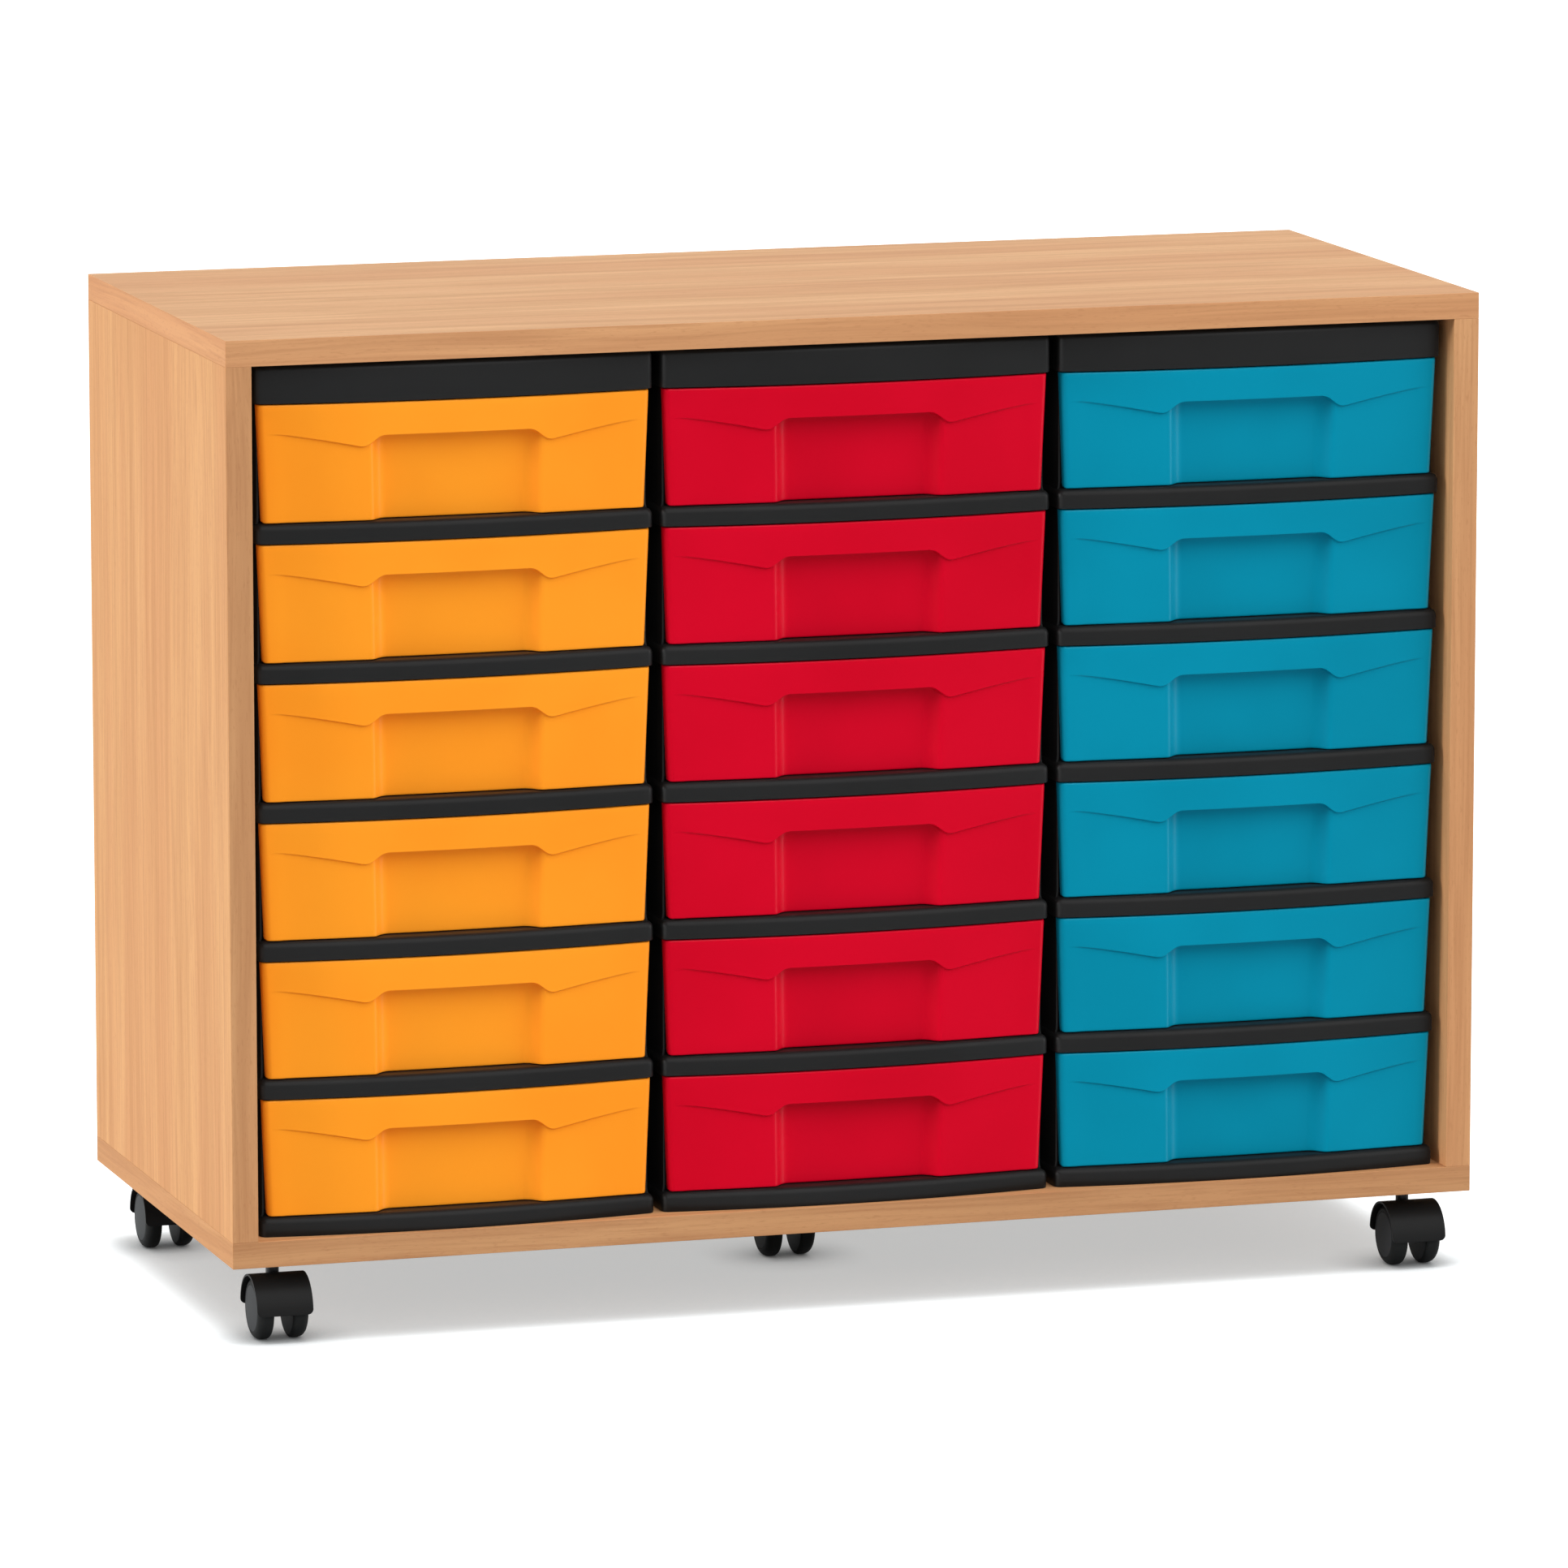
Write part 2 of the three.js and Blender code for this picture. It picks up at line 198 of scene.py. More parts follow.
def turnOutwards():
    pickAll()
    bpy.ops.mesh.normals_make_consistent(inside=False)


def joinParts(parts):
    hold(parts[0])
    for other in parts[1:]:
        other.select_set(True)
    bpy.ops.object.join()
    return parts[0]


def smooth(part, angle=35):
    hold(part)
    bpy.ops.object.shade_smooth_by_angle(angle=math.radians(angle))


def copyTo(part, name, shift):
    twin = part.copy()
    twin.data = part.data.copy()
    twin.name = name
    twin.data.name = name
    bpy.context.scene.collection.objects.link(twin)
    twin.data.transform(Matrix.Translation(shift))
    return twin


looks = []


def standFor(part, node, body):
    looks.append(part)
    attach(part, body)
    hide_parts(node)


def copyToNodes(model, nodes, bodyOf, slotName, firstNode):  # copies of a model in each node's place
    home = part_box(firstNode)[0]
    for node in nodes:
        twin = copyTo(model, node + "_look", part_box(node)[0] - home)
        standFor(twin, node, bodyOf(node))
    bpy.data.objects.remove(model)


def paint(part, *coats):
    part.data.materials.clear()
    for coat in coats:
        part.data.materials.append(coat)


def paintFaces(part, number, test):  # gives the faces that pass a test the material of that number
    for face in part.data.polygons:
        if test(face):
            face.material_index = number


# shader sums

def tone(red, green, blue):  # screen numbers of 0 to 255 as a linear colour
    def linear(part):
        share = part / 255
        return share / 12.92 if share <= 0.04045 else ((share + 0.055) / 1.055) ** 2.4
    return (linear(red), linear(green), linear(blue), 1.0)


class Wire:  # a socket of a node tree, or a tree to start from, with sums written as sums
    def __init__(self, tree, socket=None):
        self.tree = tree
        self.socket = socket

    def node(self, kind, settings, sockets, output=0):
        made = self.tree.nodes.new(kind)
        for key, value in settings.items():
            setattr(made, key, value)
        for key, value in sockets.items():
            if isinstance(value, Wire):
                self.tree.links.new(value.socket, made.inputs[key])
            else:
                made.inputs[key].default_value = value
        return Wire(self.tree, made.outputs[output] if made.outputs else None)

    def sum(self, operation, first, second):
        return self.node("ShaderNodeMath", {"operation": operation}, {0: first, 1: second})

    def __add__(self, other):
        return self.sum("ADD", self, other)

    def __sub__(self, other):
        return self.sum("SUBTRACT", self, other)

    def __rsub__(self, other):
        return self.sum("SUBTRACT", other, self)

    def __mul__(self, other):
        return self.sum("MULTIPLY", self, other)

    __radd__ = __add__
    __rmul__ = __mul__

    def blend(self, first, second):  # a mix of two colours by this factor
        return self.node("ShaderNodeMix", {"data_type": "RGBA"}, {0: self, 6: first, 7: second}, 2)


def newFinish(name):
    finish = bpy.data.materials.new(name)
    finish.use_nodes = True
    finish.node_tree.nodes.clear()
    return finish, Wire(finish.node_tree)


def closeFinish(start, sockets):  # the surface shader and the output
    shader = start.node("ShaderNodeBsdfPrincipled", {}, sockets)
    start.node("ShaderNodeOutputMaterial", {}, {"Surface": shader})


def placeOnPart(start, scale=(1, 1, 1)):
    spot = start.node("ShaderNodeTexCoord", {}, {}, "Object")
    return start.node("ShaderNodeMapping", {}, {"Vector": spot, "Scale": scale})


def speckle(start, spot, scale, detail=2.0, roughness=0.5, output=0):
    return start.node("ShaderNodeTexNoise", {}, {
        "Vector": spot, "Scale": scale, "Detail": detail, "Roughness": roughness}, output)


def step(value, low, high):  # 0 below low, 1 above high
    return value.node("ShaderNodeMapRange", {"interpolation_type": "SMOOTHSTEP"}, {
        0: value, 1: low, 2: high, 3: 0.0, 4: 1.0})


def bump(start, strength, depth, height):
    return start.node("ShaderNodeBump", {}, {"Strength": strength, "Distance": depth, "Height": height})


beechWood = {
    "pale": tone(217, 161, 107), "rosy": tone(207, 147, 96), "deep": tone(180, 122, 77),
    "waver": (9.0, 2.6), "waverReach": 0.022, "waverDetail": 1.0,
    "deepShare": {"streak": 0.46, "thread": 0.46, "fleck": 0.42},  # most of the deep tone
    "bump": 0.05, "bumpDepth": 0.0003, "fleckSink": 0.5, "rough": 0.52, "streakRough": 0.10, "gloss": 0.10,
}
beechFigures = {  # turns a metre across and along the grain, detail, roughness, start and end of the tone
    "broad": ((16.0, 1.1), 2.0, 0.5, (0.34, 0.66)),
    "streak": ((75.0, 2.2), 4.0, 0.62, (0.36, 0.72)),
    "thread": ((420.0, 7.0), 2.0, 0.5, (0.40, 0.75)),
    "fleck": ((900.0, 150.0), 1.0, 0.5, (0.55, 0.80)),
}


def beechFinish(name, grain, shade):  # grain runs along 0 x, 1 y or 2 z, shade is a share of each colour, which carries painted light and shade as well as the board's own tone
    wood = beechWood
    finish, start = newFinish(name)

    def stretched(across, lengthwise):
        return [lengthwise if axis == grain else across for axis in range(3)]
    waver = placeOnPart(start, stretched(*wood["waver"]))
    drift = speckle(start, waver, 1.0, wood["waverDetail"], output="Color")
    wavering = start.node("ShaderNodeVectorMath", {"operation": "MULTIPLY_ADD"}, {
        0: drift, 1: stretched(wood["waverReach"], 0), 2: placeOnPart(start)})
    figures, masks = {}, {}
    for key, (turns, detail, roughness, edges) in beechFigures.items():
        spot = start.node("ShaderNodeMapping", {}, {"Vector": wavering, "Scale": stretched(*turns)})
        figures[key] = speckle(start, spot, 1.0, detail, roughness)
        masks[key] = step(figures[key], *edges)
    pale, rosy, deep = [[part * share for part, share in zip(wood[key], shade)] + [1.0]
                        for key in ("pale", "rosy", "deep")]
    colour = masks["broad"].blend(pale, rosy)
    for key, share in wood["deepShare"].items():
        colour = (masks[key] * share).blend(colour, deep)
    height = figures["streak"] - figures["fleck"] * wood["fleckSink"]
    relief = bump(start, wood["bump"], wood["bumpDepth"], height)
    closeFinish(start, {
        "Base Color": colour, "Roughness": wood["rough"] + figures["streak"] * wood["streakRough"],
        "Specular IOR Level": wood["gloss"], "Normal": relief})
    return finish


plastics = {  # colours, roughness, gloss and the colour of the gloss
    "tray_amber": (tone(255, 156, 38), tone(254, 151, 35), 0.26, 0.12, tone(255, 205, 150)),
    "tray_red": (tone(209, 5, 37), tone(203, 4, 34), 0.26, 0.12, tone(255, 140, 150)),
    "tray_teal": (tone(3, 138, 167), tone(2, 133, 161), 0.26, 0.12, tone(140, 225, 255)),
    "housing_black": (tone(25, 25, 25), tone(21, 21, 21), 0.32, 0.11, tone(255, 255, 255)),
    "castor_black": (tone(27, 27, 27), tone(23, 23, 23), 0.42, 0.08, tone(255, 255, 255)),
    "wheel_tread": (tone(32, 33, 33), tone(28, 29, 29), 0.50, 0.06, tone(255, 255, 255)),
    "wheel_hub": (tone(57, 59, 60), tone(51, 52, 54), 0.48, 0.05, tone(255, 255, 255)),
}
plasticSkin = {  # slow drift of the pigment and fine moulded skin
    "cloud": 9.0, "cloudEdges": (0.35, 0.7), "cloudRough": 0.04,
    "grain": 1900.0, "grainRough": 0.08, "bump": 0.10, "bumpDepth": 0.00012,
}


def plasticFinish(name):
    skin = plasticSkin
    colour, deep, rough, gloss, tint = plastics[name]
    finish, start = newFinish(name)
    spot = placeOnPart(start)
    cloud = speckle(start, spot, skin["cloud"])
    grainy = speckle(start, spot, skin["grain"])
    closeFinish(start, {
        "Base Color": step(cloud, *skin["cloudEdges"]).blend(colour, deep),
        "Roughness": rough + grainy * skin["grainRough"] + cloud * skin["cloudRough"],
        "Specular IOR Level": gloss, "Specular Tint": tint,
        "Normal": bump(start, skin["bump"], skin["bumpDepth"], grainy)})
    return finish


stemSteel = {
    "light": tone(62, 62, 64), "dark": tone(44, 44, 46), "metal": 0.85,
    "rings": 160.0, "ringStretch": (1, 1, 40), "rough": 0.34, "ringRough": 0.12,
}


def stemFinish():
    steel = stemSteel
    finish, start = newFinish("stem_steel")
    rings = speckle(start, placeOnPart(start, steel["ringStretch"]), steel["rings"])
    closeFinish(start, {
        "Base Color": rings.blend(steel["light"], steel["dark"]), "Metallic": steel["metal"],
        "Roughness": steel["rough"] + rings * steel["ringRough"]})
    return finish


finishes = {name: plasticFinish(name) for name in plastics}
finishes["stem"] = stemFinish()
print("finishes ready")


# boards of the carcass

boards = {  # node: axis of the grain, axis across the board, shades of its faces, edge bands and end bands, which hold the wood's own tone and painted light and shade: the top face is painted lighter, the base panel's edge bands and the top's end bands darker, and each board's shares even out how the lamps fall on it
    "top_panel": (0, 2, (1.085, 1.255, 1.59), (0.985, 1.025, 1.17), (0.93, 0.93, 0.99)),
    "base_panel": (0, 2, (1.0, 1.05, 1.15), (0.82, 0.86, 0.97), (0.85, 0.885, 0.90)),
    "left_side_panel": (2, 0, (0.94, 0.97, 0.97), (0.88, 0.935, 1.055), (0.91, 0.97, 1.09)),
    "right_side_panel": (2, 0, (1.03, 1.08, 1.18), (0.97, 1.02, 1.155), (0.98, 1.04, 1.18)),
    "back_panel": (0, 1, (1.0, 1.05, 1.15), (0.98, 1.04, 1.15), (0.98, 1.04, 1.15)),
}
boardShape = {
    "edge": 0.35 * mm, "edgeAngle": 40, "smoothAngle": 15, "bandFacing": 0.7, "stemHole": 5.1 * mm,
    "stemHoleDepth": 14 * mm, "cutOver": 10 * mm, "drillUnder": 5 * mm,
}


# the three tones of a board carry painted light and shade as well as the wood's own tone
def makeBoard(node, grain, thin, faceToneAndPaintedLight, edgeToneAndPaintedLight, endToneAndPaintedLight):
    shape = boardShape
    low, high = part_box(node)
    board = addBox(node + "_board", low, high)
    if node != "back_panel":  # rebate that takes the back panel
        backLow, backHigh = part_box("back_panel")
        cutAway(board, addBox("rebate", backLow, backHigh + Vector((0, shape["cutOver"], 0))))
    if node == "base_panel":
        for castor in castors:
            stemLow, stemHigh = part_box(castor + "_castor_stem")
            cutAway(board, addRound("bore", shape["stemHole"], low.z - shape["drillUnder"],
                                    low.z + shape["stemHoleDepth"], (stemLow + stemHigh) / 2, False))
    softenEdges(board, shape["edge"], shape["edgeAngle"])
    # broad faces first, then edge bands with the grain along the edge
    longest = max((axis for axis in range(3) if axis != thin), key=lambda axis: (high - low)[axis])
    other = 3 - thin - longest
    paint(board, beechFinish(node + "_face", grain, faceToneAndPaintedLight),
          beechFinish(node + "_edge", longest, edgeToneAndPaintedLight), beechFinish(node + "_end", other, endToneAndPaintedLight))
    paintFaces(board, 1, lambda face: abs(face.normal[other]) > shape["bandFacing"])
    paintFaces(board, 2, lambda face: abs(face.normal[longest]) > shape["bandFacing"])
    smooth(board, shape["smoothAngle"])
    standFor(board, node, "carcass")


for node, values in boards.items():
    makeBoard(node, *values)
print("boards done")


# housings and covers

housingShape = {
    "bowRadius": 1010 * mm, "bowCuts": 23, "ledgeHeight": 14.2 * mm, "flare": 0.8 * mm, "round": 5 * mm,
    "corner": 4.5 * mm, "foot": 0.7 * mm, "skirt": 2 * mm, "hollow": 11.7 * mm,
    "wall": 2 * mm, "wallInset": 2.3 * mm, "wallFront": 23.2 * mm, "wallEdge": 0.4 * mm,
    "backCorner": 5.8 * mm,
}
wallFlare = (  # heights over the foot of the wall, and how far it stands out there, in mm
    (0.0, 1.2), (1.2, 1.0), (2.4, 0.62), (3.6, 0.34), (5.0, 0.14), (7.0, 0.0))
carcassFront = cadBounds[0].y


def bow(x):  # how far the bowed fronts fall back, away from the middle of a column
    radius = housingShape["bowRadius"]
    return radius - math.sqrt(radius ** 2 - x ** 2)


def makeLedge(name, low, high):  # bowed block with a round upper edge and a hollow underside
    shape = housingShape
    centre = (low.x + high.x) / 2
    reach = (high.x - low.x) / 2 + shape["flare"]
    ledge = addBox(name, (centre - reach, low.y, low.z), (centre + reach, high.y, high.z))
    edit(ledge)
    pick(ledge, "EDGE", lambda edge: along(edge, 0))
    bpy.ops.mesh.subdivide(number_cuts=shape["bowCuts"])
    leave()
    for vert in ledge.data.vertices:
        if vert.co.y < low.y + wide:
            vert.co.y += bow(vert.co.x - centre)
    edit(ledge)
    pick(ledge, "EDGE", lambda edge: along(edge, 2) and abs(middle(edge).x - centre) > reach - wide)
    bevelPicked(shape["corner"], 5)
    pick(ledge, "EDGE", lambda edge: middle(edge).z > high.z - near and sharp(edge))
    bevelPicked(shape["round"], 5, clamp_overlap=False)
    pick(ledge, "FACE", lambda face: facing(face, 2, -1))
    bpy.ops.mesh.inset(thickness=shape["skirt"], use_even_offset=True)
    pullFaces((0, 0, shape["hollow"]))
    pick(ledge, "EDGE", lambda edge: middle(edge).z < low.z + near and sharp(edge))
    bevelPicked(shape["foot"], 2)
    leave()
    return ledge


def standOut(rise):  # how far the wall stands out at a height over its foot, both in mm
    return [out for height, out in wallFlare if rise > height - fine / mm][-1]


def makeWalls(name, low, high):  # left, back and right wall, flaring into the ledge at the foot
    shape = housingShape
    inset = shape["wallInset"]
    footZ = low.z + shape["hollow"]
    centre = (low.x + high.x) / 2
    wallLow = Vector((low.x + inset, carcassFront + shape["wallFront"], footZ))
    wallHigh = Vector((high.x - inset, high.y - inset, high.z))
    walls = addBox(name, wallLow, wallHigh)
    edit(walls)
    pick(walls, "EDGE", lambda edge: along(edge, 2) and middle(edge).y > wallHigh.y - wide)
    bevelPicked(shape["backCorner"], 4)
    pick(walls, "FACE", lambda face: facing(face, 2, 1) or facing(face, 2, -1) or facing(face, 1, -1))
    bpy.ops.mesh.delete(type="FACE")
    for height, out in wallFlare[1:]:
        pickAll()
        bpy.ops.mesh.bisect(plane_co=(0, 0, footZ + height * mm), plane_no=(0, 0, 1))
    leave()
    for vert in walls.data.vertices:
        if abs(vert.co.x - centre) > wallHigh.x - centre - wide / 2:
            out = standOut((vert.co.z - footZ) / mm)
            vert.co.x += math.copysign(out * mm, vert.co.x - centre)
    thicken(walls, shape["wall"])
    softenEdges(walls, shape["wallEdge"])
    return walls


lockNubs = {"fromTop": (18 * mm, 47 * mm, 76 * mm), "size": (0.8 * mm, 0.8 * mm, 1.5 * mm)}


def makeNubs(low, high):  # small oval nubs on the front of the right wall
    shape = housingShape
    wallX = high.x - shape["wallInset"] - shape["wall"] / 2
    nubs = []
    for drop in lockNubs["fromTop"]:
        clearPick()
        spot = (wallX, carcassFront + shape["wallFront"], high.z - shape["hollow"] - drop)
        bpy.ops.mesh.primitive_uv_sphere_add(segments=12, ring_count=8, radius=1, location=spot)
        bpy.ops.transform.resize(value=lockNubs["size"])
        nubs.append(nameIt("nub"))
    return nubs


def makeHousing(node):
    low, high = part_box(node)
    ledgeHigh = Vector((high.x, high.y, low.z + housingShape["ledgeHeight"]))
    ledge = makeLedge("housing_model", low, ledgeHigh)
    walls = makeWalls("housing_walls", low, high)
    return joinParts([ledge, walls] + makeNubs(low, high))


def copyHousings(model, nodes, firstNode):
    smooth(model)
    paint(model, finishes["housing_black"])
    copyToNodes(model, nodes, lambda node: "carcass", "housing_black", firstNode)


housingNodes = [f"{name}_housing_{level}" for name in columns for level in levels]
coverNodes = [name + "_top_cover" for name in columns]
copyHousings(makeHousing("red_housing_1"), housingNodes, "red_housing_1")
copyHousings(makeLedge("cover_model", *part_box("red_top_cover")), coverNodes, "red_top_cover")
print("housings and covers done")


# trays

trayShape = {
    "wall": 2.2 * mm, "floor": 2.5 * mm, "draft": 3.5 * mm, "frontY": 4.3 * mm, "lean": 1.0 * mm,
    "corner": 5.0 * mm, "lowerCorner": 1.8 * mm, "frontBack": 22.6 * mm, "flare": 0.7 * mm,
    "sideStep": 3.5 * mm, "footLift": 0.15 * mm, "rimRound": 1.8 * mm, "footRound": 0.9 * mm,
    "backCorner": 8 * mm, "bodyFoot": 2.5 * mm, "bodyFootBend": 0.3, "rimEdge": 0.5 * mm, "smoothAngle": 40,
}
pull = {  # drops are below the rim
    "bandStep": 3.3 * mm, "bandFade": 0.4, "notchDrop": 23.4 * mm, "notchHalf": 54.5 * mm,
    "wingDrop": 31.6 * mm, "wingHalf": 70 * mm, "wingCurve": 1.22, "wingBlend": 1.4 * mm,
    "creaseDrop": 20.6 * mm, "creaseHalf": 135 * mm, "creaseRun": 1.15 * mm,
    "recessDepth": 10.0 * mm, "recessFront": 65.9 * mm, "recessSlope": 1.33, "recessLip": 5.0 * mm,
    "recessFillet": 10.0 * mm, "recessRun": 0.8 * mm, "recessSlowRun": 5 * mm, "recessSlowShare": 0.1,
}
frontGrid = {  # spans and rows in mm, closer where the front turns
    "spans": ((0, 50, 8), (50, 76, 32), (76, 134, 14)),  # start, end and columns
    "rimRows": (0, 0.15, 0.5, 1.0, 1.8), "bandRows": 5, "lowerRows": 8,
    "lipRows": (-2.4, -1.2, -0.6, -0.25, 0, 0.2, 0.45, 0.8, 1.2, 1.8, 2.8, 4.2, 6.0),
    "footRows": (1.5, 0.9, 0.4, 0.1, 0), "cornerTurns": 7,
}


def ease(value):
    share = min(max(value, 0.0), 1.0)
    return share * share * (3 - 2 * share)


def sharpDrop(side):  # the wing-shaped lower edge of the band, as a drop below the rim
    wing = (pull["creaseHalf"] - side) / (pull["creaseHalf"] - pull["wingHalf"])
    fall = min(max(wing, 0.0), 1.0) ** pull["wingCurve"]
    outer = pull["creaseDrop"] + (pull["wingDrop"] - pull["creaseDrop"]) * fall
    rise = (pull["wingHalf"] - side) / (pull["wingHalf"] - pull["notchHalf"])
    return outer + (pull["notchDrop"] - pull["wingDrop"]) * ease(rise)


def bandDrop(x):  # the same with its low point a little rounded
    shifts = (-2, -1, 0, 1, 2)
    return sum(sharpDrop(abs(x) + pull["wingBlend"] * shift) for shift in shifts) / len(shifts)


def recessShare(x):  # 1 at the back of the finger recess, 0 outside, along a splayed side with soft ends
    lip, fillet = pull["recessLip"], pull["recessFillet"]
    steep = pull["recessSlope"] / pull["recessDepth"]
    straight = 1 / steep - (lip + fillet) / 2
    reach = pull["recessFront"] - abs(x)
    if reach < lip:
        return steep * max(reach, 0.0) ** 2 / (2 * lip)
    if reach < lip + straight:
        return steep * (reach - lip / 2)
    left = max(lip + straight + fillet - reach, 0.0)
    return 1 - steep * left ** 2 / (2 * fillet)


def halfColumns():  # places of half the front's columns, from the middle out
    places = []
    for start, end, count in frontGrid["spans"]:
        places += [(start + (end - start) * i / count) * mm for i in range(count)]
    return places


def between(first, last, count):  # the places between two heights
    return [first + (last - first) * share / count for share in range(1, count)]


def frontRows(x, height):  # heights of the front's rows over the foot, from the rim down
    edge = height - bandDrop(x)
    rim = [height - drop * mm for drop in frontGrid["rimRows"]]
    lip = [edge - drop * mm for drop in frontGrid["lipRows"]]
    foot = [lift * mm + trayShape["footLift"] for lift in frontGrid["footRows"]]
    band = between(rim[-1], lip[0], frontGrid["bandRows"])
    lower = between(lip[-1], foot[0], frontGrid["lowerRows"])
    return rim + band + lip + lower + foot


def roundOff(distance, radius):  # how far a rounded edge falls back, close to its end
    if distance >= radius:
        return 0.0
    return radius - math.sqrt(max(radius ** 2 - (radius - distance) ** 2, 0))


def quarterTurn(count):  # angles from 0 to 90 degrees
    return [math.radians(90 * i / count) for i in range(count + 1)]


def frontDepth(x, z, height):  # how far back the front lies at a place
    shape = trayShape
    below = height - bandDrop(x) - z
    fade = max(1 - abs(x) / pull["creaseHalf"], 0) ** pull["bandFade"]
    shallow = pull["bandStep"] * fade * ease(below / pull["creaseRun"])
    quick, slow = ease(below / pull["recessRun"]), ease(below / pull["recessSlowRun"])
    slowShare = pull["recessSlowShare"]
    deep = pull["recessDepth"] * recessShare(x) * ((1 - slowShare) * quick + slowShare * slow)
    ends = roundOff(height - z, shape["rimRound"]) + roundOff(z - shape["footLift"], shape["footRound"])
    return shape["frontY"] + bow(x) + shape["lean"] * (1 - z / height) + shallow + deep + ends


def makeTrayFront(name, half, height, place):  # grid that is drawn into the bowed front with its pull
    corner, cornerTurns = trayShape["corner"], frontGrid["cornerTurns"]
    right = halfColumns() + [pull["creaseHalf"], half - corner]
    places = [-x for x in reversed(right[1:])] + right
    lastPlace = len(places) - 1
    turns = quarterTurn(cornerTurns)
    columnSteps = lastPlace + 2 * cornerTurns
    rowSteps = len(frontRows(0, height)) - 1
    front = addGrid(name, columnSteps, rowSteps)
    for vert in front.data.vertices:
        column = gridStep(vert.co.x, columnSteps) - cornerTurns
        row = gridStep(-vert.co.y, rowSteps)
        past = max(-column, column - lastPlace, 0)  # steps round the front's corner
        x = places[min(max(column, 0), lastPlace)]
        z = frontRows(x, height)[row]
        y = frontDepth(x, z, height)
        if past:
            turn = turns[past]
            y += corner * (1 - math.cos(turn))
            x += math.copysign(corner * math.sin(turn), x)
            inward = corner * (1 - math.sin(turn))
            z += roundOff(inward, trayShape["lowerCorner"]) * (1 - z / height) ** 2
        x *= 1 - trayShape["draft"] * (1 - z / height) / half
        vert.co = place + Vector((x, y, z))
    return front


def makeTray(node):
    shape = trayShape
    low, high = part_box(node)
    half = (high.x - low.x) / 2 + shape["flare"]
    body = half - shape["sideStep"]
    height = high.z - low.z
    place = Vector(((low.x + high.x) / 2, carcassFront, low.z))
    stopY = carcassFront + shape["frontBack"]
    tray = makeTrayFront("tray_model", half, height, place)
    edit(tray)
    pick(tray, "EDGE", lambda edge: edge.is_boundary and lowest(edge, 2) < high.z - fine)
    pullEdges((0, 0, 0))  # ends of the front panel
    bpy.ops.transform.resize(value=(1, 0, 1), center_override=(place.x, stopY, 0))
    pullEdges((0, 0, 0))  # step in to the body
    bpy.ops.transform.resize(value=(body / half, 1, height / (height - shape["footLift"])),
                             center_override=(place.x, stopY, high.z))
    pullEdges((0, high.y - stopY, 0))  # back to the end
    bpy.ops.mesh.edge_face_add()  # back wall
    pick(tray, "EDGE", lambda edge: edge.is_boundary)
    bpy.ops.mesh.edge_face_add()  # rim, opened by the pocket below
    turnOutwards()
    pick(tray, "EDGE", lambda edge: lowest(edge, 1) > high.y - wide and not along(edge, 0) and sharp(edge))
    bevelPicked(shape["backCorner"], 4)
    pick(tray, "EDGE", lambda edge: highest(edge, 2) < low.z + near and highest(edge, 1) > stopY + wide
         and sharp(edge, shape["bodyFootBend"]))
    bevelPicked(shape["bodyFoot"], 3)
    leave()
    cutAway(tray, makePocket(body, height, place, low, high))
    edit(tray)
    pick(tray, "EDGE", lambda edge: lowest(edge, 2) > high.z - fine and sharp(edge))
    bevelPicked(shape["rimEdge"], 2)
    leave()
    smooth(tray, shape["smoothAngle"])
    return tray


pocketShape = {  # clearances behind the recess and the front, the cut over the rim and the corner cuts
    "recessGap": 1.2 * mm, "sideGap": 2 * mm, "stepOut": 8 * mm, "over": 4 * mm, "cornerCut": 100 * mm,
}


def makePocket(body, height, place, low, high):  # the space inside, which steps back behind the recess
    shape = trayShape
    wall = shape["wall"]
    inner = body - wall
    bandY = carcassFront + shape["frontY"] + pull["bandStep"] + wall  # inside of the band's lower step
    recessY = bandY + pull["recessDepth"] + pocketShape["recessGap"]
    ceiling = high.z - pull["notchDrop"] + wall
    shoulder = pull["recessFront"] + wall
    cornerCut = pocketShape["cornerCut"]
    pocket = addBox("pocket", (place.x - inner, recessY, low.z + shape["floor"]),
                    (place.x + inner, high.y - wall, high.z + pocketShape["over"]))
    edit(pocket)
    for spot in (-shoulder, shoulder, -cornerCut, cornerCut):
        pickAll()
        bpy.ops.mesh.bisect(plane_co=(place.x + spot, 0, 0), plane_no=(1, 0, 0))
    pickAll()
    bpy.ops.mesh.bisect(plane_co=(0, 0, ceiling), plane_no=(0, 0, 1))

    def behindFront(face):
        spot = face.calc_center_median()
        return facing(face, 1, -1) and (abs(spot.x - place.x) > shoulder or spot.z > ceiling)
    pick(pocket, "FACE", behindFront)
    pullFaces((0, -pocketShape["stepOut"], 0))
    leave()
    for vert in pocket.data.vertices:
        x = vert.co.x - place.x
        rise = (vert.co.z - low.z) / height
        if vert.co.y < recessY - wide:
            vert.co.y = bandY + shape["lean"] + bow(x)
        elif abs(x) > shoulder + wide and vert.co.y < recessY + wide:
            vert.co.y = max(vert.co.y, bandY + bow(x) + pocketShape["sideGap"])
        vert.co.x = place.x + x * (1 - shape["draft"] * (1 - rise) / body)
    edit(pocket)
    pick(pocket, "EDGE", lambda edge: middle(edge).y > high.y - wall - wide
         and abs(middle(edge).x - place.x) > cornerCut and sharp(edge) and not along(edge, 0))
    bevelPicked(shape["backCorner"] - wall, 4)
    leave()
    return pocket


trayModel = makeTray("red_tray_1")
for name in columns:
    model = copyTo(trayModel, name + "_tray_model", (0, 0, 0))
    paint(model, finishes["tray_" + name])
    trayNodes = [f"{name}_tray_{level}" for level in levels]
    copyToNodes(model, trayNodes, lambda node: node, "tray_" + name, "red_tray_1")
bpy.data.objects.remove(trayModel)
print("trays done")


# castors

